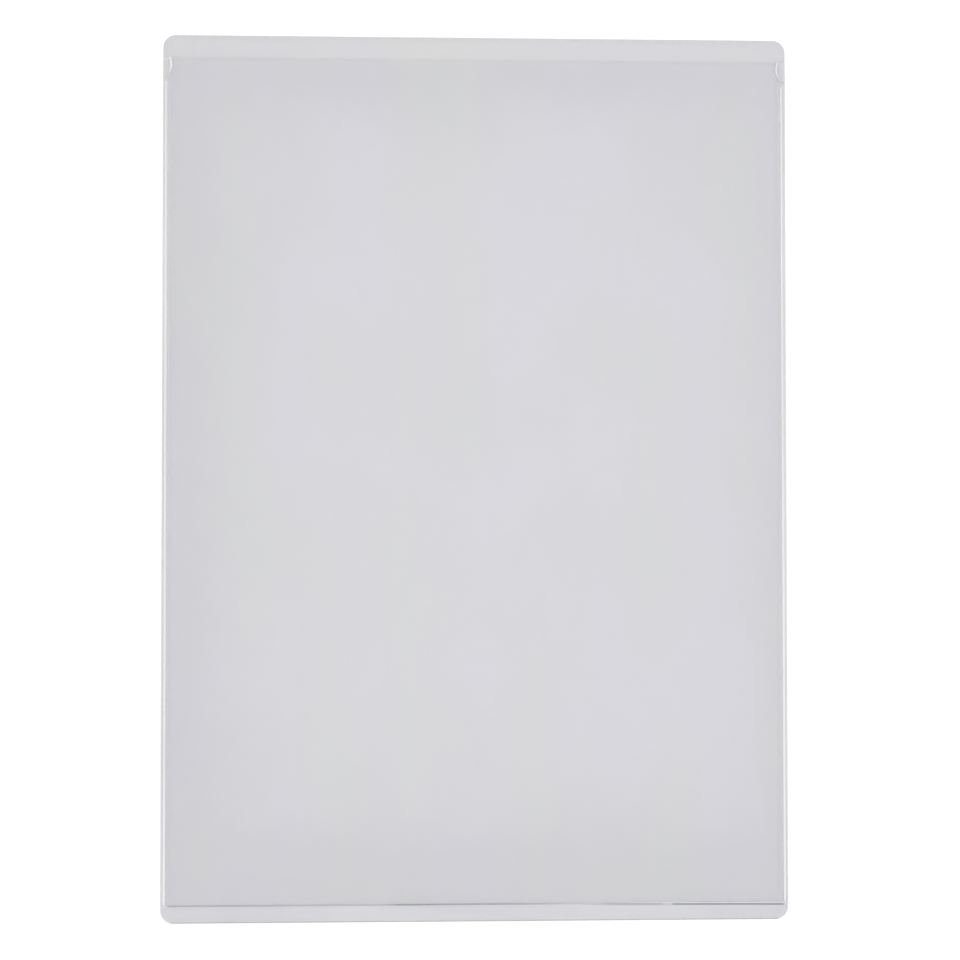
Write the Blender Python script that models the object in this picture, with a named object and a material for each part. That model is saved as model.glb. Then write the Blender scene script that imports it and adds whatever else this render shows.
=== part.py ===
"""Clear plastic document sleeve for an A4 sheet: two films welded along three sides, open at the top.

X runs across the sleeve, Y towards its mouth and Z up from the surface it lies on.
The origin is the middle of the underside. All sizes are in metres.
"""

import math

import bmesh
import bpy

# Outside of the sleeve
SLEEVE_WIDTH = 0.220
SLEEVE_HEIGHT = 0.311
CORNER_RADIUS = 0.0045

# Films, and the pocket between them
FILM_THICKNESS = 0.0003
POCKET_DEPTH = 0.0006
MOUTH_DROP = 0.0080

# Welds: a flat pressed land along the cut edge, and a bead along the inner edge
LAND_THICKNESS = 0.00045
BEAD_WIDTH = 0.0011
BEAD_RISE = 0.0001
BEAD_SHOULDER = 0.0002
SIDE_WELD_WIDTH = 0.0018
BOTTOM_WELD_WIDTH = 0.0063

# Rounded ends of the side welds at the mouth
MOUTH_WELD_RADIUS = 0.0070
MOUTH_WELD_REACH = 0.0035
MOUTH_WELD_DROP = 0.0107

# Clearance between solids that are fused together on the real sleeve
SEAT_GAP = 0.00005

# How finely round stretches are drawn, and the angle past which an edge stays sharp
CORNER_STEPS = 12
BEAD_STEPS = 5
MOUTH_STEPS = 20
SHARP_ANGLE = math.radians(40)

# Places worked out from the sizes above
HALF_WIDTH = SLEEVE_WIDTH / 2
HALF_HEIGHT = SLEEVE_HEIGHT / 2
MOUTH_Y = HALF_HEIGHT - MOUTH_DROP
BOTTOM_WELD_Y = BOTTOM_WELD_WIDTH - HALF_HEIGHT
WELD_FOOT_Z = FILM_THICKNESS + SEAT_GAP
LAND_Z = WELD_FOOT_Z + LAND_THICKNESS
FRONT_Z = FILM_THICKNESS + POCKET_DEPTH
CREST_Z = FRONT_Z + FILM_THICKNESS + BEAD_RISE
SHOULDER_Z = CREST_Z - BEAD_SHOULDER

# A mouth weld is part of a disc whose centre lies outside the sleeve's edge
MOUTH_DISC_X = HALF_WIDTH - MOUTH_WELD_REACH + MOUTH_WELD_RADIUS
MOUTH_DISC_Y = HALF_HEIGHT - MOUTH_WELD_DROP

COLLECTION_NAME = "document_sleeve"
CUTTER_COLLECTION_NAME = "document_sleeve_cutters"


def clear_scene():
    for old in list(bpy.data.objects):
        bpy.data.objects.remove(old, do_unlink=True)


def new_collection(name):
    collection = bpy.data.collections.new(name)
    bpy.context.scene.collection.children.link(collection)
    return collection


def plastic(name, colour, roughness, alpha):
    """A clear plastic: its colour is linear RGB, and alpha is how much it hides what lies under it."""
    material = bpy.data.materials.new(name)
    material.use_nodes = True
    shader = material.node_tree.nodes["Principled BSDF"]
    shader.inputs["Base Color"].default_value = (*colour, 1.0)
    shader.inputs["Roughness"].default_value = roughness
    shader.inputs["Metallic"].default_value = 0.0
    shader.inputs["Alpha"].default_value = alpha
    return material


def arc(centre, radius, start, end, steps):
    """Points along an arc, angles in degrees."""
    points = []
    for step in range(steps + 1):
        angle = math.radians(start + (end - start) * step / steps)
        points.append((centre[0] + radius * math.cos(angle), centre[1] + radius * math.sin(angle)))
    return points


def eased(start, end, steps):
    """Points from start to end on an S-shaped curve that is level at both ends, start left out."""
    points = []
    for step in range(1, steps + 1):
        share = step / steps
        rise = (1 - math.cos(math.pi * share)) / 2
        points.append((start[0] + (end[0] - start[0]) * share, start[1] + (end[1] - start[1]) * rise))
    return points


def weld_section(width, overhang=0.0):
    """A weld's cross-section as (distance in from the cut edge, height): the land, then the bead."""
    bead_start = (width - BEAD_WIDTH, LAND_Z)
    crest = (width - BEAD_WIDTH / 2, CREST_Z)
    section = [(width, WELD_FOOT_Z), (-overhang, WELD_FOOT_Z), (-overhang, LAND_Z), bead_start]
    section += eased(bead_start, crest, BEAD_STEPS)
    section += eased(crest, (width, SHOULDER_Z), BEAD_STEPS)
    return section


def extruded(name, points, thickness, collection):
    """A flat outline with a thickness, centred on its own plane."""
    curve = bpy.data.curves.new(name, "CURVE")
    curve.dimensions = "2D"
    curve.fill_mode = "BOTH"
    curve.extrude = thickness / 2
    spline = curve.splines.new("POLY")
    spline.points.add(len(points) - 1)
    for point, (x, y) in zip(spline.points, points):
        point.co = (x, y, 0.0, 1.0)
    spline.use_cyclic_u = True
    solid = bpy.data.objects.new(name, curve)
    collection.objects.link(solid)
    return solid


def as_mesh(solid):
    """The same object as a mesh with its caps welded to its walls, so that it takes modifiers."""
    bpy.context.view_layer.update()
    evaluated = solid.evaluated_get(bpy.context.evaluated_depsgraph_get())
    mesh = bpy.data.meshes.new_from_object(evaluated)
    edit = bmesh.new()
    edit.from_mesh(mesh)
    bmesh.ops.remove_doubles(edit, verts=edit.verts, dist=SEAT_GAP / 50)
    bmesh.ops.recalc_face_normals(edit, faces=edit.faces)
    edit.to_mesh(mesh)
    edit.free()
    name = solid.name
    collection = solid.users_collection[0]
    place = solid.matrix_world.copy()
    bpy.data.objects.remove(solid, do_unlink=True)
    mesh.name = name
    made = bpy.data.objects.new(name, mesh)
    made.matrix_world = place
    collection.objects.link(made)
    return made


def lofted(name, sections, collection):
    """A closed solid through a row of sections that have the same number of points."""
    edit = bmesh.new()
    loops = [[edit.verts.new(point) for point in section] for section in sections]
    for near, far in zip(loops, loops[1:]):
        for index in range(len(near)):
            edit.faces.new((near[index - 1], near[index], far[index], far[index - 1]))
    edit.faces.new(loops[0])
    edit.faces.new(loops[-1])
    bmesh.ops.recalc_face_normals(edit, faces=edit.faces)
    mesh = bpy.data.meshes.new(name)
    edit.to_mesh(mesh)
    edit.free()
    mesh.shade_smooth()
    mesh.set_sharp_from_angle(angle=SHARP_ANGLE)
    solid = bpy.data.objects.new(name, mesh)
    collection.objects.link(solid)
    return solid


def sleeve_outline():
    """The sleeve's outside: a tall rectangle with four rounded corners."""
    inner_x = HALF_WIDTH - CORNER_RADIUS
    inner_y = HALF_HEIGHT - CORNER_RADIUS
    points = []
    for turn, (x, y) in enumerate(((1, 1), (-1, 1), (-1, -1), (1, -1))):
        corner = (x * inner_x, y * inner_y)
        points += arc(corner, CORNER_RADIUS, 90 * turn, 90 * (turn + 1), CORNER_STEPS)
    return points


def mouth_arc(weld_width, clearance=0.0):
    """The round inner edge of the right-hand mouth weld, from the mouth down to the side weld."""
    radius = MOUTH_WELD_RADIUS + clearance
    upper = 180 - math.degrees(math.asin((MOUTH_Y - MOUTH_DISC_Y) / radius))
    lower = 180 + math.degrees(math.acos((MOUTH_DISC_X - HALF_WIDTH + weld_width) / radius))
    return arc((MOUTH_DISC_X, MOUTH_DISC_Y), radius, upper, lower, MOUTH_STEPS)


def back_sheet(collection):
    """The back film has the whole outline and rises above the front film at the mouth."""
    sheet = extruded("back_sheet", sleeve_outline(), FILM_THICKNESS, collection)
    sheet.location.z = FILM_THICKNESS / 2
    sheet.data.materials.append(plastic("back_film", (0.66, 0.67, 0.70), 0.18, 0.45))


def front_sheet(collection):
    """The front film fills the space between the welds. Its origin is on the line where it bends open."""
    edge = SIDE_WELD_WIDTH + SEAT_GAP
    right = mouth_arc(edge, SEAT_GAP)
    right.append((HALF_WIDTH - edge, BOTTOM_WELD_Y + SEAT_GAP))
    outline = right + [(-x, y) for x, y in reversed(right)]
    bend_line = bpy.data.objects.new("front_sheet_bend_line", None)
    bend_line.empty_display_size = SLEEVE_WIDTH / 10
    bend_line.location = (0.0, BOTTOM_WELD_Y, FRONT_Z + FILM_THICKNESS / 2)
    collection.objects.link(bend_line)
    local = [(x, y - BOTTOM_WELD_Y) for x, y in outline]
    sheet = extruded("front_sheet", local, FILM_THICKNESS, collection)
    sheet.parent = bend_line
    sheet.data.materials.append(plastic("front_film", (0.78, 0.79, 0.82), 0.08, 0.20))


def bottom_weld(collection, cutters):
    """The widest weld, swept across the sleeve and trimmed to its rounded corners."""
    overhang = CORNER_RADIUS
    section = [(inset - HALF_HEIGHT, z) for inset, z in weld_section(BOTTOM_WELD_WIDTH, overhang)]
    band = extruded("bottom_weld", section, SLEEVE_WIDTH + 2 * overhang, collection)
    band.rotation_euler = (math.radians(90), 0.0, math.radians(90))
    band = as_mesh(band)
    cutter = as_mesh(extruded("sleeve_outline", sleeve_outline(), 4 * CREST_Z, cutters))
    cutter.hide_render = True
    cutter.display_type = "WIRE"
    trim = band.modifiers.new("rounded_corners", "BOOLEAN")
    trim.operation = "INTERSECT"
    trim.object = cutter
    band.data.materials.append(plastic("bottom_weld", (0.70, 0.71, 0.76), 0.12, 0.55))


def side_weld(name, side, collection):
    """The narrow weld along one side, from the bottom weld up to the mouth weld."""
    section = [(side * (HALF_WIDTH - inset), z) for inset, z in weld_section(SIDE_WELD_WIDTH)]
    low_y = BOTTOM_WELD_Y + SEAT_GAP
    high_y = mouth_arc(SIDE_WELD_WIDTH)[-1][1] - SEAT_GAP
    weld = extruded(name, section, high_y - low_y, collection)
    weld.rotation_euler.x = math.radians(90)
    weld.location.y = (low_y + high_y) / 2
    weld.data.materials.append(plastic(name, (0.80, 0.81, 0.83), 0.12, 0.60))


def mouth_weld(name, side, collection):
    """The rounded end of a side weld, which keeps the seam from tearing open at the mouth."""
    sections = []
    for x, y in mouth_arc(SIDE_WELD_WIDTH):
        outline = weld_section(HALF_WIDTH - x)
        sections.append([(side * (HALF_WIDTH - inset), y, z) for inset, z in outline])
    weld = lofted(name, sections, collection)
    weld.data.materials.append(plastic(name, (0.80, 0.81, 0.83), 0.12, 0.60))


def main():
    clear_scene()
    sleeve = new_collection(COLLECTION_NAME)
    cutters = new_collection(CUTTER_COLLECTION_NAME)
    back_sheet(sleeve)
    front_sheet(sleeve)
    bottom_weld(sleeve, cutters)
    for word, side in (("left", -1), ("right", 1)):
        side_weld(f"{word}_side_weld", side, sleeve)
        mouth_weld(f"{word}_mouth_weld", side, sleeve)


main()
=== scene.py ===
# %% [markdown]
# # A clear document sleeve
# The real object is two thin plastic films, welded together along three sides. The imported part
# already has every piece at its real size, so this lesson only remodels the surfaces: soft film,
# rounded weld beads, cut edges, and plastics that light passes through. The part is loaded
# first, because most sizes below are read from it.

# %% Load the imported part
import math

import bmesh
import bpy
import numpy as np
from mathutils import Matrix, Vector


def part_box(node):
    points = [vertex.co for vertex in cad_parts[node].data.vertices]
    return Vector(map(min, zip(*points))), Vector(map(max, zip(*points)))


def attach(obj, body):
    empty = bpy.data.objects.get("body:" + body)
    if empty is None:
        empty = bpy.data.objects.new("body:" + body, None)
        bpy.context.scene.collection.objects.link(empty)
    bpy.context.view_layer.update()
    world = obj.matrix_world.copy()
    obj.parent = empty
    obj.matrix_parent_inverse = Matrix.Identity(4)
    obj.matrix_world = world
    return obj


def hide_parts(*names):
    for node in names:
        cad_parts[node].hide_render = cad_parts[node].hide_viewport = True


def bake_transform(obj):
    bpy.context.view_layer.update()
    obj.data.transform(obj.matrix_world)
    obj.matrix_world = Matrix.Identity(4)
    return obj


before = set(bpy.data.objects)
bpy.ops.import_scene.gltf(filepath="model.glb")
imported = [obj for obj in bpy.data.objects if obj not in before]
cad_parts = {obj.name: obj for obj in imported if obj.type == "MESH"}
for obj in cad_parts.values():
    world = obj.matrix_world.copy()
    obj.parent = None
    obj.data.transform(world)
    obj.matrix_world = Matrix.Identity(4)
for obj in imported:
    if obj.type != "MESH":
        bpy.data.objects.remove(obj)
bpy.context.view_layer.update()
MM = 0.001

# %% [markdown]
# ## Sizes
# A node's box gives its lowest and highest corner. Reading sizes from the boxes, and not typing
# them again, keeps the looks on the part when the part changes. What lies inside a box, such as
# a corner's radius or a bead's width, can't be read there, so those few sizes are typed. Names
# are short: the hem is the bottom weld, a seam is a side weld, and an anchor is a mouth weld.

# %% Read the sizes that the boxes give
back_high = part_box("back_sheet")[1]
front_low, front_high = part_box("front_sheet")
hem_low, hem_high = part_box("bottom_weld")
seam_low, seam_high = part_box("right_side_weld")
anchor_low, anchor_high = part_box("right_mouth_weld")
HALF_WIDTH = back_high.x
HALF_HEIGHT = back_high.y
FILM = back_high.z
FOOT_Z = hem_low.z
CREST_Z = hem_high.z
SEAM_WIDTH = HALF_WIDTH - seam_low.x
ANCHOR_REACH = HALF_WIDTH - anchor_low.x
print("seam width in mm:", round(SEAM_WIDTH / MM, 3), "anchor reach:", round(ANCHOR_REACH / MM, 3))

# %% Type the sizes that they don't give
CORNER_RADIUS = 4.5 * MM
FILM_GAP = 0.05 * MM
LAND = 0.45 * MM
LAND_MIDDLE_Z = FOOT_Z + LAND / 2
LAND_Z = FOOT_Z + LAND
BEAD_WIDTH = 1.1 * MM
ANCHOR_RADIUS = 7.0 * MM
ANCHOR_DROP = 10.7 * MM
ANCHOR_X = HALF_WIDTH - ANCHOR_REACH + ANCHOR_RADIUS
ANCHOR_Y = HALF_HEIGHT - ANCHOR_DROP
print("top of a land in mm:", round(LAND_Z / MM, 3), "top of a bead:", round(CREST_Z / MM, 3))

# %% [markdown]
# ## Camera
# The sleeve was photographed from almost straight above through a long lens, which keeps its
# sides nearly parallel. The place and turn below put its four corners where the photograph has
# them.

# %% Place the camera
CAMERA_LENS = 85.0
CAMERA_PLACE = (-34.70 * MM, -23.35 * MM, 796.90 * MM)
CAMERA_TURN = (1.606, -2.595, -0.019)
CLIP_START = 10 * MM
camera = bpy.data.objects.new("camera", bpy.data.cameras.new("camera"))
bpy.context.scene.collection.objects.link(camera)
camera.data.lens = CAMERA_LENS
camera.data.clip_start = CLIP_START
camera.location = CAMERA_PLACE
camera.rotation_euler = [math.radians(angle) for angle in CAMERA_TURN]
bpy.context.scene.camera = camera
bpy.context.scene.view_settings.view_transform = "Standard"
print("camera", round(camera.location.z, 3), "m above the floor")

# %% [markdown]
# ## Small helpers for modelling
# Each piece starts as a primitive, is opened in edit mode, and is shaped by the same operators
# that a hand would use. An operator works on what is selected, so `pick` selects edges or faces
# by where their middle lies. `cut_lines` draws new edges right across a mesh.

# %% Start a piece, pick its parts and cut it
SLACK = 0.01 * MM
ACROSS = Vector((1, 0, 0))
ALONG = Vector((0, 1, 0))


def add_piece(name, operator, **settings):
    """Adds a primitive under a name, with nothing else selected, and opens it in edit mode."""
    bpy.ops.object.select_all(action="DESELECT")
    operator(**settings)
    piece = bpy.context.object
    piece.name = name
    piece.data.name = name
    bpy.ops.object.transform_apply(location=True, rotation=True, scale=True)
    bpy.ops.object.mode_set(mode="EDIT")
    return piece


def near(value, target, slack=SLACK):
    return abs(value - target) < slack


def pick(kind, wanted):
    """Selects the edges or the faces whose middle passes a test."""
    bpy.ops.mesh.select_all(action="DESELECT")
    bpy.ops.mesh.select_mode(type=kind)
    edit = bmesh.from_edit_mesh(bpy.context.object.data)
    for part in {"EDGE": edit.edges, "FACE": edit.faces}[kind]:
        middle = sum((corner.co for corner in part.verts), Vector()) / len(part.verts)
        part.select_set(wanted(middle))
    edit.select_flush_mode()
    bmesh.update_edit_mesh(bpy.context.object.data)


def cut_lines(axis, *places):
    """Cuts the whole mesh square to an axis, at places along it."""
    for place in places:
        bpy.ops.mesh.select_all(action="SELECT")
        bpy.ops.mesh.bisect(plane_co=place * axis, plane_no=axis)


# %% Finish a piece
MERGE_DISTANCE = 0.001 * MM
SHARP_DEGREES = 40


def close_piece(piece):
    """Leaves edit mode with the faces pointing out, and shades the round parts smooth."""
    bpy.ops.mesh.select_all(action="SELECT")
    bpy.ops.mesh.remove_doubles(threshold=MERGE_DISTANCE)
    bpy.ops.mesh.normals_make_consistent(inside=False)
    bpy.ops.object.mode_set(mode="OBJECT")
    bpy.ops.object.shade_smooth_by_angle(angle=math.radians(SHARP_DEGREES))
    print(piece.name, len(piece.data.polygons), "faces, mm:", [round(s / MM, 2) for s in piece.dimensions])


# %% [markdown]
# ## Back film
# The back film has the whole outline, with rounded corners, and lies flat. It could be cut out
# of a block, but a plane becomes it in four moves with few faces: bevel the corner vertices,
# extrude the thickness, inset a rim for the cut edge, and bevel the top of the outline a little,
# because a blade leaves no perfect corner.

# %% A test for the outline
def on_rim(middle, inset):
    """True on the strip along the sleeve's outline, rounded corners included."""
    past_x = max(abs(middle.x) - HALF_WIDTH + CORNER_RADIUS, 0)
    past_y = max(abs(middle.y) - HALF_HEIGHT + CORNER_RADIUS, 0)
    return math.hypot(past_x, past_y) > CORNER_RADIUS - inset


# %% Model the back film
CORNER_STEPS = 14
RIM_WIDTH = 2.4 * MM
EDGE_ROUND = 0.05 * MM
EDGE_STEPS = 2
back_film = add_piece("back_film", bpy.ops.mesh.primitive_plane_add, size=1)
bpy.ops.transform.resize(value=(2 * HALF_WIDTH, 2 * HALF_HEIGHT, 1))
bpy.ops.mesh.bevel(offset=CORNER_RADIUS, segments=CORNER_STEPS, affect="VERTICES")
bpy.ops.mesh.select_all(action="SELECT")
bpy.ops.mesh.extrude_region_move(TRANSFORM_OT_translate={"value": (0, 0, FILM)})
pick("FACE", lambda middle: near(middle.z, FILM))
bpy.ops.mesh.inset(thickness=RIM_WIDTH)
pick("EDGE", lambda middle: near(middle.z, FILM) and on_rim(middle, EDGE_ROUND))
bpy.ops.mesh.bevel(offset=EDGE_ROUND, segments=EDGE_STEPS, affect="EDGES")
close_piece(back_film)

# %% [markdown]
# ## Marks for the plastics
# One piece can show more than one plastic. Faces that pass a test get a material slot of their
# own, which gives a hard border. For a soft change, every vertex stores a share from 0 to 1,
# which a plastic reads later and blends between the vertices. Neither needs an image or a UV map.

# %% Helpers for marking a piece
# A face looks down when the z of its normal is below this.
NOT_BELOW = -0.5


def zone(piece, index, wanted):
    """Gives the faces that pass a test on their centre and normal their own material slot."""
    found = [face for face in piece.data.polygons if wanted(face.center, face.normal)]
    for face in found:
        face.material_index = index
    print(piece.name, "zone", index, "has", len(found), "faces")


def store(piece, name, share_at):
    """Stores a share from 0 to 1 on every vertex, worked out from its place."""
    stored = piece.data.attributes.new(name, "FLOAT", "POINT")
    shares = [min(max(share_at(vertex.co), 0), 1) for vertex in piece.data.vertices]
    stored.data.foreach_set("value", shares)
    print(piece.name, name, "on", sum(share > 0 for share in shares), "vertices")


# %% Mark the back film's rim
zone(back_film, 1, lambda middle, normal: normal.z > NOT_BELOW and on_rim(middle, RIM_WIDTH))
# The edge share deepens the rim's grey towards the outline: painted shade.
store(back_film, "edge", lambda place: on_rim(place, 2 * EDGE_ROUND))

# %% [markdown]
# ## Front film
# The front film is held at the welds and free between them, so it is never quite flat: it rests
# in long, shallow waves. A cloth simulation could make them, but a Displace modifier on a fine
# grid gives waves of a known height, and its vertex group fades them out at the welds. Solidify
# then gives the film its thickness, and two round cutters take out the notches where the mouth
# welds sit.

# %% Model the front film's sheet
ROWS, COLUMNS = 120, 88
HELD_STRIP = 1.3 * MM
LIP_WIDTH = 1.2 * MM
front_size = front_high - front_low
front_middle = (front_low + front_high) / 2
front_film = add_piece("front_film", bpy.ops.mesh.primitive_grid_add, size=1, x_subdivisions=COLUMNS,
                       y_subdivisions=ROWS)
bpy.ops.transform.resize(value=(front_size.x, front_size.y, 1))
bpy.ops.transform.translate(value=(0, front_middle.y, front_middle.z))
# The painted light of the held edges fades out as far as the first cuts, and the lip's painted shade ends
# at the last.
cut_lines(ACROSS, front_low.x + HELD_STRIP, front_high.x - HELD_STRIP)
cut_lines(ALONG, front_high.y - LIP_WIDTH)
bpy.ops.object.mode_set(mode="OBJECT")
print("front film grid", len(front_film.data.vertices), "vertices")

# %% Wave the front film
WAVE_LENGTH = 70 * MM
WAVE_HEIGHT = 0.22 * MM
HELD_MARGIN = 30 * MM


def eased(share):
    """The same share from 0 to 1, with a gentle start and end."""
    return share * share * (3 - 2 * share)


free = front_film.vertex_groups.new(name="free")
for vertex in front_film.data.vertices:
    to_side = front_high.x - abs(vertex.co.x)
    to_hem = vertex.co.y - front_low.y
    free.add([vertex.index], eased(min(1.0, min(to_side, to_hem) / HELD_MARGIN)), "REPLACE")
waves = bpy.data.textures.new("film_waves", "CLOUDS")
waves.noise_scale = WAVE_LENGTH
waves.noise_depth = 1
wave = front_film.modifiers.new("waves", "DISPLACE")
wave.texture = waves
wave.texture_coords = "LOCAL"
wave.strength = WAVE_HEIGHT
wave.vertex_group = free.name
bpy.ops.object.modifier_apply(modifier=wave.name)
heights = [vertex.co.z for vertex in front_film.data.vertices]
print("front film waves, mm:", round((max(heights) - min(heights)) / MM, 3))

# %% Give the front film its thickness and notches
ROUND_STEPS = 128
CUTTER_HEIGHT = 10 * CREST_Z
thick = front_film.modifiers.new("thickness", "SOLIDIFY")
thick.thickness = FILM
thick.offset = 0
bpy.ops.object.modifier_apply(modifier=thick.name)
for side in (-1, 1):
    notch = add_piece("notch", bpy.ops.mesh.primitive_cylinder_add, vertices=ROUND_STEPS,
                      radius=ANCHOR_RADIUS + FILM_GAP, depth=CUTTER_HEIGHT,
                      location=(side * ANCHOR_X, ANCHOR_Y, front_middle.z))
    bpy.ops.object.mode_set(mode="OBJECT")
    bpy.context.view_layer.objects.active = front_film
    cut = front_film.modifiers.new("notch", "BOOLEAN")
    cut.operation = "DIFFERENCE"
    cut.object = notch
    bpy.ops.object.modifier_apply(modifier=cut.name)
    bpy.data.objects.remove(notch, do_unlink=True)
front_film.select_set(True)
bpy.ops.object.mode_set(mode="EDIT")
close_piece(front_film)

# %% Mark the front film's mouth edge
# The mouth edge's faces carry a thin grey line of painted shade.
zone(front_film, 1, lambda middle, normal: middle.y > front_high.y - LIP_WIDTH)

# %% [markdown]
# ## Bottom weld
# The two films are pressed together between hot bars, which leaves a flat land, and the plastic
# that is squeezed out sets as a bead along the land's inner edge. The section could be drawn and
# swept along a path. A cube is quicker here: it is the land, a cut marks off the bead's strip, an
# extrude raises the strip, and two bevels round it, softly outside and sharply inside. All five
# welds share that section, so one helper raises every bead.

# %% A helper for the beads
BEAD_STEPS = 5
OUTER_ROUND = 0.45 * MM
INNER_ROUND = 0.16 * MM


def raise_bead(depth):
    """Raises the land's inner strip. `depth` tells how far in from the inner edge a place lies."""
    pick("FACE", lambda middle: near(middle.z, LAND_Z) and depth(middle) < BEAD_WIDTH)
    bpy.ops.mesh.extrude_region_move(TRANSFORM_OT_translate={"value": (0, 0, CREST_Z - LAND_Z)})
    for edge_depth, round_off in ((BEAD_WIDTH, OUTER_ROUND), (0, INNER_ROUND)):
        pick("EDGE", lambda middle: near(middle.z, CREST_Z) and near(depth(middle), edge_depth))
        bpy.ops.mesh.bevel(offset=round_off, segments=BEAD_STEPS, affect="EDGES")
    print(bpy.context.object.name, "bead stands", round((CREST_Z - LAND_Z) / MM, 3), "mm above its land")


# %% Model the bottom weld
hem_middle = (hem_low + hem_high) / 2
bottom_weld = add_piece("bottom_weld_bead", bpy.ops.mesh.primitive_cube_add, size=1)
bpy.ops.transform.resize(value=(2 * HALF_WIDTH, hem_high.y - hem_low.y, LAND))
bpy.ops.transform.translate(value=(0, hem_middle.y, LAND_MIDDLE_Z))
pick("EDGE", lambda middle: near(middle.y, hem_low.y) and near(abs(middle.x), HALF_WIDTH)
     and near(middle.z, LAND_MIDDLE_Z))
bpy.ops.mesh.bevel(offset=CORNER_RADIUS, segments=CORNER_STEPS, affect="EDGES")
cut_lines(ALONG, hem_high.y - BEAD_WIDTH)
raise_bead(lambda place: hem_high.y - place.y)

# %% Round the bottom weld's cut edge
CUT_ROUND = 0.34 * MM
CUT_STEPS = 3
RIM_SLACK = 0.03 * MM
pick("EDGE", lambda middle: near(middle.z, LAND_Z) and on_rim(middle, RIM_SLACK)
     and middle.y < hem_high.y - BEAD_WIDTH)
bpy.ops.mesh.bevel(offset=CUT_ROUND, segments=CUT_STEPS, affect="EDGES")
print("cut edge rounded by", round(CUT_ROUND / MM, 3), "mm")

# %% [markdown]
# ## The bottom weld's dark line
# A clear bead bends light aside, so it reads as a dark line: strong where much plastic was
# squeezed out, faint where little was, and broken where none was. On the right the line slants
# across the bead. Here that shade is painted, in a dark grey plastic. An image could be painted
# for it, but the line stays sharp in the mesh: the bead is cut along the line and wherever its
# strength changes, the faces in the line become a zone, and every vertex stores how much plastic
# was squeezed out there, which sets how dark the painted shade is.

# %% Cut the bead along its dark line
LINE_LEFT = 2.6 * MM - HALF_WIDTH
LINE_RIGHT = HALF_WIDTH - 1.7 * MM
LINE_HALF = 0.3 * MM
LEVEL_DEPTH = 0.22 * MM
SLANT_X = 37 * MM
SLANT_START, SLANT_END = 0.36 * MM, 0.98 * MM
# How much plastic was squeezed out, at places along the bead from left to right.
SQUEEZE = ((LINE_LEFT, 0.32), (-33 * MM, 0.27), (-27 * MM, 1.0), (-16 * MM, 0.9), (4 * MM, 0.6),
           (21 * MM, 0.4), (32 * MM, 0.04), (42 * MM, 0.04), (47 * MM, 0.42), (65 * MM, 0.42),
           (65.9 * MM, 0.0), (68.4 * MM, 0.0), (69.5 * MM, 0.75), (LINE_RIGHT, 0.9))
cut_lines(ACROSS, SLANT_X, *[x for x, strength in SQUEEZE])
cut_lines(ALONG, hem_high.y - LEVEL_DEPTH - LINE_HALF)
slant_normal = Vector((SLANT_END - SLANT_START, HALF_WIDTH - SLANT_X, 0)).normalized()
for offset in (-LINE_HALF, LINE_HALF):
    pick("FACE", lambda middle: middle.x > SLANT_X)
    bpy.ops.mesh.bisect(plane_co=(SLANT_X, hem_high.y - SLANT_START - offset, 0), plane_no=slant_normal,
                        threshold=MERGE_DISTANCE)
close_piece(bottom_weld)

# %% Mark the bottom weld's dark line and cut edge
# A face looks up when the z of its normal is above this.
FACING_UP = 0.2


def between(low, high, share):
    return low + (high - low) * share


def line_depth(x):
    """How far in from the bead's inner edge the middle of the dark line lies."""
    if x < SLANT_X:
        return LEVEL_DEPTH
    return between(SLANT_START, SLANT_END, (x - SLANT_X) / (HALF_WIDTH - SLANT_X))


def in_dark_line(middle, normal):
    on_top = normal.z > FACING_UP and LINE_LEFT < middle.x < LINE_RIGHT
    return on_top and abs(hem_high.y - middle.y - line_depth(middle.x)) < LINE_HALF


# The faces in the dark line carry the bead's painted shade.
zone(bottom_weld, 1, in_dark_line)
# The rounded cut edge's faces carry a grey line of painted shade.
zone(bottom_weld, 2, lambda middle, normal: normal.z > NOT_BELOW and middle.y < hem_low.y + CUT_ROUND)
# How much plastic was squeezed out sets how dark the painted shade is.
store(bottom_weld, "squeeze", lambda place: float(np.interp(place.x, *zip(*SQUEEZE))))

# %% [markdown]
# ## Side welds
# A side weld is the same land and bead, only narrower. It is modelled once for each side, so
# that each piece has its own mesh. A highlight runs along the bead as a white stripe, and it is
# painted here, as milky white in the plastic. The stripe could be a piece of its own, but it is
# no thicker than the bead, so it is a stored share: the bead is cut under the stripe, and each
# vertex says how much painted highlight it gets there.

# %% Helpers for the painted highlight stripe
# The stripe reaches this many half widths from its centre, and fades over the last one.
STRIPE_REACH = 1.25
STRIPE_LIMIT = 0.95 * BEAD_WIDTH


def ramp(value, start, end):
    """Runs from 0 at start to 1 at end, and stays there."""
    return min(max((value - start) / (end - start), 0), 1)


def stripe(depth, centre, half):
    """How much painted highlight a bead gets at a depth in from its inner edge: a soft stripe that spares
    its foot.
    """
    return min(max(STRIPE_REACH - abs(depth - centre) / half, 0), 1) if depth < STRIPE_LIMIT else 0


# %% Model the side welds
WHITE_FADE = 0.5 * MM
LAND_WHITE = 0.12
TOP_HALF, BOTTOM_HALF = 0.32 * MM, 0.44 * MM
STRIPE_CUTS = (0.32 * MM, 0.48 * MM)
seam_middle = (seam_low + seam_high) / 2


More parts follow.
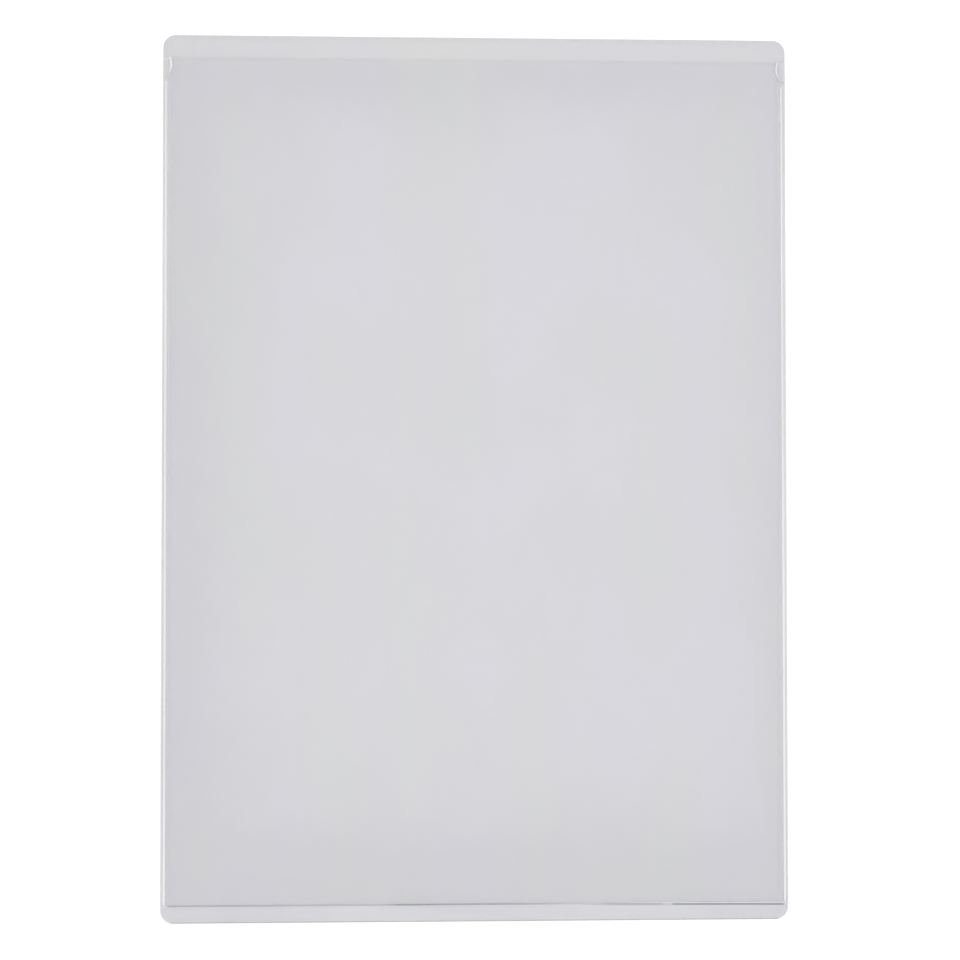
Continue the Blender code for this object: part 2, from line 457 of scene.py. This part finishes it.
def model_side_weld(name, side, centres, whites, clear_end):
    """The two centres and whites of the painted highlight stripe are those at the weld's top and bottom
    end.
    """
    inner_x = side * (HALF_WIDTH - SEAM_WIDTH)
    clear_y = seam_high.y - clear_end
    weld = add_piece(name, bpy.ops.mesh.primitive_cube_add, size=1)
    bpy.ops.transform.resize(value=(SEAM_WIDTH, seam_high.y - seam_low.y, LAND))
    bpy.ops.transform.translate(value=(side * (HALF_WIDTH - SEAM_WIDTH / 2), seam_middle.y, LAND_MIDDLE_Z))
    cut_lines(ACROSS, side * (HALF_WIDTH - SEAM_WIDTH + BEAD_WIDTH))
    raise_bead(lambda place: side * (place.x - inner_x))
    cut_lines(ALONG, clear_y, clear_y - WHITE_FADE)
    cut_lines(ACROSS, *[inner_x + side * depth for depth in STRIPE_CUTS])
    close_piece(weld)

    # The share is the land's faint, even milkiness, raised to a painted highlight along the stripe.
    def white_at(place):
        down = ramp(place.y, seam_high.y, seam_low.y)
        half = between(TOP_HALF, BOTTOM_HALF, down)
        white = stripe(abs(place.x - inner_x), between(*centres, down), half) * between(*whites, down)
        return between(LAND_WHITE, 1, white * ramp(place.y, clear_y, clear_y - WHITE_FADE))

    store(weld, "milk_and_painted_light", white_at)
    return weld


left_side_weld = model_side_weld("left_side_weld_bead", -1, centres=(0.78 * MM, 0.58 * MM),
                                 whites=(0.78, 0.86), clear_end=0.9 * MM)
right_side_weld = model_side_weld("right_side_weld_bead", 1, centres=(0.18 * MM, 0.62 * MM),
                                  whites=(0.85, 1.0), clear_end=1.3 * MM)

# %% [markdown]
# ## Mouth welds
# Each side weld ends at the mouth in a round, wider foot, so that the seam doesn't tear open
# when a sheet is pushed in. Its section could be spun round an axis, but the foot is also part of
# a coin with a raised rim: a cylinder whose top is inset, and whose rim is raised as every bead
# is. Three cuts then trim the coin to the stretch that lies on the sleeve.

# %% Model the mouth welds
ARC_EDGE = 0.35 * MM
ABOVE_LAND = LAND_Z + 0.05 * MM
WHITE_START_Y = HALF_HEIGHT - 11.5 * MM
WHITE_END_Y = HALF_HEIGHT - 14.0 * MM


def model_mouth_weld(name, side, centre, half):
    """The centre and the half width are those of the painted highlight stripe along the rim."""
    coin_middle = Vector((side * ANCHOR_X, ANCHOR_Y))

    def depth_at(place):
        return ANCHOR_RADIUS - (place.xy - coin_middle).length

    weld = add_piece(name, bpy.ops.mesh.primitive_cylinder_add, vertices=ROUND_STEPS, radius=ANCHOR_RADIUS,
                     depth=LAND, location=(side * ANCHOR_X, ANCHOR_Y, LAND_MIDDLE_Z))
    pick("FACE", lambda middle: near(middle.z, LAND_Z))
    bpy.ops.mesh.inset(thickness=ARC_EDGE)
    bpy.ops.mesh.inset(thickness=BEAD_WIDTH - ARC_EDGE)
    raise_bead(depth_at)
    trims = (((side * HALF_WIDTH, 0, 0), (side, 0, 0)), ((0, anchor_high.y, 0), (0, 1, 0)),
             ((0, anchor_low.y, 0), (0, -1, 0)))
    for place, outward in trims:
        bpy.ops.mesh.select_all(action="SELECT")
        bpy.ops.mesh.bisect(plane_co=place, plane_no=outward, use_fill=True, clear_outer=True)
    close_piece(weld)

    # The share is a painted highlight along the rim.
    def white_at(place):
        fade = ramp(place.y, WHITE_END_Y, WHITE_START_Y)
        return stripe(depth_at(place), centre, half) * fade if place.z > ABOVE_LAND else 0

    store(weld, "milk_and_painted_light", white_at)
    return weld


left_mouth_weld = model_mouth_weld("left_mouth_weld_bead", -1, centre=0.64 * MM, half=0.32 * MM)
right_mouth_weld = model_mouth_weld("right_mouth_weld_bead", 1, centre=0.10 * MM, half=0.36 * MM)

# %% [markdown]
# ## Faint painted light where the film is held
# Next to the welds the film would sit in a faint shade, so a little painted light lifts its held
# edges, and the bottom weld's bead gets faint painted light on its crest. Both are faint, so a
# stripe would be lost on them: each edge of the film and the bead's crest get one share. How light
# a full share is, the plastics say later. On the film it is no more than a thin veil.

# %% Paint light on the held edges
HELD_SLACK = 0.1 * MM
HELD_LEFT, HELD_RIGHT, HELD_BOTTOM = 0.85, 1.0, 0.3
BEAD_PAINTED_LIGHT = 0.10


def held_edge_light(place):
    """How much painted light the front film gets: only its edges at the welds get any."""
    if near(place.x, front_high.x, HELD_SLACK):
        return HELD_RIGHT
    if near(place.x, front_low.x, HELD_SLACK):
        return HELD_LEFT
    return HELD_BOTTOM if near(place.y, front_low.y, HELD_SLACK) else 0


# Faint painted light along the film's held edges.
store(front_film, "milk_and_painted_light", held_edge_light)
# Faint painted light on the bottom weld's bead crest.
store(bottom_weld, "milk_and_painted_light", lambda place: BEAD_PAINTED_LIGHT if place.z > ABOVE_LAND else 0)

# %% [markdown]
# ## Colour and node helpers
# Shaders work in linear light, so one function turns an sRGB hex colour into linear values. One
# more adds a node with its settings: an input is either a value or another node's output.

# %% Material helpers
def linear(hex_colour):
    shares = [int(hex_colour[start:start + 2], 16) / 255 for start in (1, 3, 5)]
    return [s / 12.92 if s <= 0.04045 else ((s + 0.055) / 1.055) ** 2.4 for s in shares] + [1.0]


def add_node(tree, kind, inputs=(), **settings):
    node = tree.nodes.new(kind)
    for name, value in settings.items():
        setattr(node, name, value)
    for socket, value in dict(inputs).items():
        if isinstance(value, bpy.types.NodeSocket):
            tree.links.new(value, node.inputs[socket])
        else:
            node.inputs[socket].default_value = value
    return node


# %% [markdown]
# ## Clear PVC
# Calendered PVC film is rolled out hot between polished rollers. That leaves long, faint streaks
# along the roll, slow clouds of tint, and a glossy skin. A glass shader would bend light at every
# face, which films this thin don't show, so a Transparent shader is mixed with a plastic one.
# Seen from the front most light passes through. Seen along the surface it turns into a mirror, so
# the share that is let through follows Layer Weight's Facing. The skin's fine orange peel is drawn
# coarser than it is, because a render of the whole sleeve would not show it otherwise.

# %% The film's rolled skin
STREAK_MM = 18.0
STREAK_STRETCH = 12
CLOUD_MM = 55.0
PEEL_MM = 2.2
PEEL_DEPTH_MM = 0.01
PEEL_STRENGTH = 0.5
TINT_FROM, TINT_TO = 0.7, 1.3
CLOUD_FROM, CLOUD_TO = 0.3, 0.7
SMOOTHEST, ROUGHEST = 0.8, 1.25
PVC_IOR = 1.53


def rolled_skin(tree, pale, deep, roughness):
    """The plastic itself: streaks and clouds between two tints, an uneven gloss and orange peel."""
    where = add_node(tree, "ShaderNodeTexCoord").outputs["Object"]
    along_roll = add_node(tree, "ShaderNodeMapping", {
        "Vector": where, "Scale": (1 / (STREAK_MM * MM), 1 / (STREAK_STRETCH * STREAK_MM * MM), 0.0)})
    streaks = add_node(tree, "ShaderNodeTexNoise", {
        "Vector": along_roll.outputs["Vector"], "Scale": 1.0, "Detail": 1.0}, noise_dimensions="2D")
    clouds = add_node(tree, "ShaderNodeTexNoise", {
        "Vector": where, "Scale": 1 / (CLOUD_MM * MM), "Detail": 1.0}, noise_dimensions="2D")
    uneven = add_node(tree, "ShaderNodeMath", {
        0: streaks.outputs["Fac"], 1: clouds.outputs["Fac"]}, operation="ADD")
    share = add_node(tree, "ShaderNodeMapRange", {
        "Value": uneven.outputs[0], "From Min": TINT_FROM, "From Max": TINT_TO,
        "To Min": 0.0, "To Max": 1.0})
    colour = add_node(tree, "ShaderNodeMix", {
        0: share.outputs["Result"], 6: linear(deep), 7: linear(pale)}, data_type="RGBA")
    rough = add_node(tree, "ShaderNodeMapRange", {
        "Value": clouds.outputs["Fac"], "From Min": CLOUD_FROM, "From Max": CLOUD_TO,
        "To Min": roughness * SMOOTHEST, "To Max": roughness * ROUGHEST})
    peel = add_node(tree, "ShaderNodeTexNoise", {
        "Vector": where, "Scale": 1 / (PEEL_MM * MM), "Detail": 0.0}, noise_dimensions="2D")
    bump = add_node(tree, "ShaderNodeBump", {
        "Height": peel.outputs["Fac"], "Strength": PEEL_STRENGTH, "Distance": PEEL_DEPTH_MM * MM})
    plastic = add_node(tree, "ShaderNodeBsdfPrincipled", {
        "Base Color": colour.outputs[2], "Roughness": rough.outputs["Result"], "IOR": PVC_IOR,
        "Normal": bump.outputs["Normal"]})
    return plastic.outputs[0]


# %% How much the film hides
FACING_BLEND = 0.5
MIRROR_POWER = 5.0


def hidden_share(tree, haze, varies):
    """The share of light that doesn't pass: the haze, or more where the eye looks along a face."""
    facing = add_node(tree, "ShaderNodeLayerWeight", {"Blend": FACING_BLEND})
    glance = add_node(tree, "ShaderNodeMath", {
        0: facing.outputs["Facing"], 1: MIRROR_POWER}, operation="POWER")
    base = haze
    if varies:
        stored, full_haze = varies
        share_here = add_node(tree, "ShaderNodeAttribute", attribute_name=stored).outputs["Fac"]
        base = add_node(tree, "ShaderNodeMath", {
            0: share_here, 1: full_haze - haze, 2: haze}, operation="MULTIPLY_ADD").outputs[0]
    hidden = add_node(tree, "ShaderNodeMath", {0: base, 1: glance.outputs[0]}, operation="MAXIMUM")
    return hidden.outputs[0]


# %% Build a clear PVC material
def clear_pvc(name, pale, deep, haze, roughness, through="#ffffff", varies=None):
    """`varies` names a stored share, and the haze where that share is full."""
    material = bpy.data.materials.new(name)
    material.use_nodes = True
    tree = material.node_tree
    tree.nodes.clear()
    skin = rolled_skin(tree, pale, deep, roughness)
    hidden = hidden_share(tree, haze, varies)
    clear = add_node(tree, "ShaderNodeBsdfTransparent", {"Color": linear(through)})
    mixed = add_node(tree, "ShaderNodeMixShader", {0: hidden, 1: clear.outputs[0], 2: skin})
    add_node(tree, "ShaderNodeOutputMaterial", {"Surface": mixed.outputs[0]})
    print(name, "hides", haze, "of the light behind it")
    return material


# %% Make the films' plastics
# Film rolled out with a faint tint: a cool, even grey with slow clouds in it.
back_pvc = clear_pvc("calendered_pvc_back", "#bfbfc1", "#bfbdc6", haze=0.293, roughness=0.20)
# The same film where a knife cut it: painted shade deepens the grey a little towards the outline.
rim_shade_pvc = clear_pvc("knife_cut_pvc", "#bfbfc1", "#bfbdc6", haze=0.293, roughness=0.20,
                    varies=("edge", 0.34))
# Film rolled out without a tint: nearly invisible, a milky veil with faint painted light where it is held.
front_pvc = clear_pvc("calendered_pvc_front", "#fafbf8", "#faf9ff", haze=0.105, roughness=0.10,
                      through="#fefeff", varies=("milk_and_painted_light", 0.28))
# The clear film's cut edge: a thin grey line of painted shade across the mouth.
lip_shade_pvc = clear_pvc("knife_cut_pvc_lip_painted_shade", "#dcdde2", "#d4d5da", haze=0.08, roughness=0.12)

# %% Make the welds' plastics
# Film pressed between narrow hot bars: milky, with a painted highlight along each bead.
seam_pvc = clear_pvc("pressed_pvc_seam", "#fdfdfe", "#f5f5f7", haze=0.30, roughness=0.18,
                     through="#fefeff", varies=("milk_and_painted_light", 0.90))
# Film pressed between wide hot bars: a pale band with the two films' cool tint in it, and faint painted
# light on the bead's crest.
hem_pvc = clear_pvc("pressed_pvc_band", "#fdfdfe", "#f7f7f9", haze=0.38, roughness=0.18,
                    through="#fcfcff", varies=("milk_and_painted_light", 0.90))
# Plastic squeezed out into a bead that set clear: it bends light aside, and that shade is painted as a
# dark grey line.
bead_shade_pvc = clear_pvc("squeezed_pvc_bead_painted_shade", "#7d8194", "#747a8f", haze=0.03, roughness=0.14,
                          varies=("squeeze", 0.66))
# The weld's rounded cut edge: a soft grey line of painted shade along the bottom.
cut_pvc = clear_pvc("knife_cut_pvc_weld_painted_shade", "#8e8f94", "#86878c", haze=0.46, roughness=0.25)

# %% [markdown]
# ## Dress the pieces
# Each piece gets its plastics in the order of its zones and stands for the plain solid of the
# imported part. Six of them ride stiffly on the back. The front film bends, and hangs on no body.

# %% Put the plastics on and hang the pieces on their bodies
def dress(piece, node, slot, *plastics):
    for plastic in plastics:
        piece.data.materials.append(plastic)
    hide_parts(node)
    print(piece.name, "stands for", node, "in", len(plastics), "plastics")


dress(back_film, "back_sheet", "back_film", back_pvc, rim_shade_pvc)
dress(front_film, "front_sheet", "front_film", front_pvc, lip_shade_pvc)
dress(bottom_weld, "bottom_weld", "weld", hem_pvc, bead_shade_pvc, cut_pvc)
dress(left_side_weld, "left_side_weld", "weld", seam_pvc)
dress(right_side_weld, "right_side_weld", "weld", seam_pvc)
dress(left_mouth_weld, "left_mouth_weld", "weld", seam_pvc)
dress(right_mouth_weld, "right_mouth_weld", "weld", seam_pvc)
for piece in (back_film, bottom_weld, left_side_weld, right_side_weld, left_mouth_weld, right_mouth_weld):
    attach(piece, "back")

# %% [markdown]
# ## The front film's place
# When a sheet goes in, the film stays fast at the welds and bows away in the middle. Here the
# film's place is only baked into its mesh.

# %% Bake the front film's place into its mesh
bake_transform(front_film)

# %% [markdown]
# ## Floor and light
# The floor is white paper. A floor that only glowed would be white too, but it would show no
# shadow. So its own colour gives most of the white, and a little light that only the camera,
# mirrors and glass see lifts it the rest of the way. Light Path tells those rays apart. One wide
# lamp above and an even white sky light the film softly.

# %% A helper for light that is only seen
def seen_rays(tree):
    """1 for rays that show the surface to the eye, directly or in a mirror or glass, and else 0."""
    path = add_node(tree, "ShaderNodeLightPath")
    seen = add_node(tree, "ShaderNodeMath", {
        0: path.outputs["Is Camera Ray"], 1: path.outputs["Is Glossy Ray"]}, operation="MAXIMUM")
    shown = add_node(tree, "ShaderNodeMath", {
        0: seen.outputs[0], 1: path.outputs["Is Transmission Ray"]}, operation="MAXIMUM")
    return shown.outputs[0]


# %% Make the floor
FLOOR_DROP = 0.1 * MM
FLOOR_SIZE = 6.0
FLOOR_GREY = 0.8
FLOOR_LIFT = 0.36
bpy.ops.object.select_all(action="DESELECT")
bpy.ops.mesh.primitive_plane_add(size=FLOOR_SIZE, location=(0, 0, -FLOOR_DROP))
floor = bpy.context.object
floor.name = "floor"
paper = bpy.data.materials.new("white_paper")
paper.use_nodes = True
sheet = paper.node_tree
sheet.nodes.clear()
matt = add_node(sheet, "ShaderNodeBsdfDiffuse", {"Color": (FLOOR_GREY, FLOOR_GREY, FLOOR_GREY, 1)})
lift = add_node(sheet, "ShaderNodeMath", {0: seen_rays(sheet), 1: FLOOR_LIFT}, operation="MULTIPLY")
glow = add_node(sheet, "ShaderNodeEmission", {"Strength": lift.outputs[0]})
both = add_node(sheet, "ShaderNodeAddShader", {0: matt.outputs[0], 1: glow.outputs[0]})
add_node(sheet, "ShaderNodeOutputMaterial", {"Surface": both.outputs[0]})
floor.data.materials.append(paper)
print("floor", FLOOR_SIZE, "m wide,", round(FLOOR_DROP / MM, 2), "mm below the sleeve")

# %% Light the sky
SKY_STRENGTH = 0.80
world = bpy.data.worlds.new("studio")
bpy.context.scene.world = world
world.use_nodes = True
sky = world.node_tree
sky.nodes.clear()
strength = add_node(sky, "ShaderNodeMapRange", {
    "Value": seen_rays(sky), "To Min": SKY_STRENGTH, "To Max": 1.0})
white = add_node(sky, "ShaderNodeBackground", {
    "Color": (1, 1, 1, 1), "Strength": strength.outputs["Result"]})
add_node(sky, "ShaderNodeOutputWorld", {"Surface": white.outputs[0]})
print("sky lights with", SKY_STRENGTH)

# %% Hang the lamp
LAMP_SIZE = (0.51, 0.67)
LAMP_WATTS = 1.66
LAMP_SPREAD = 120
LAMP_PLACE = (0.072, 0.045, 1.30)
lamp = bpy.data.lights.new("softbox", "AREA")
lamp.shape = "RECTANGLE"
lamp.size, lamp.size_y = LAMP_SIZE
lamp.energy = LAMP_WATTS
lamp.spread = math.radians(LAMP_SPREAD)
softbox = bpy.data.objects.new("softbox", lamp)
softbox.location = LAMP_PLACE
bpy.context.scene.collection.objects.link(softbox)
print("softbox", LAMP_PLACE[2], "m above the floor,", LAMP_WATTS, "W")
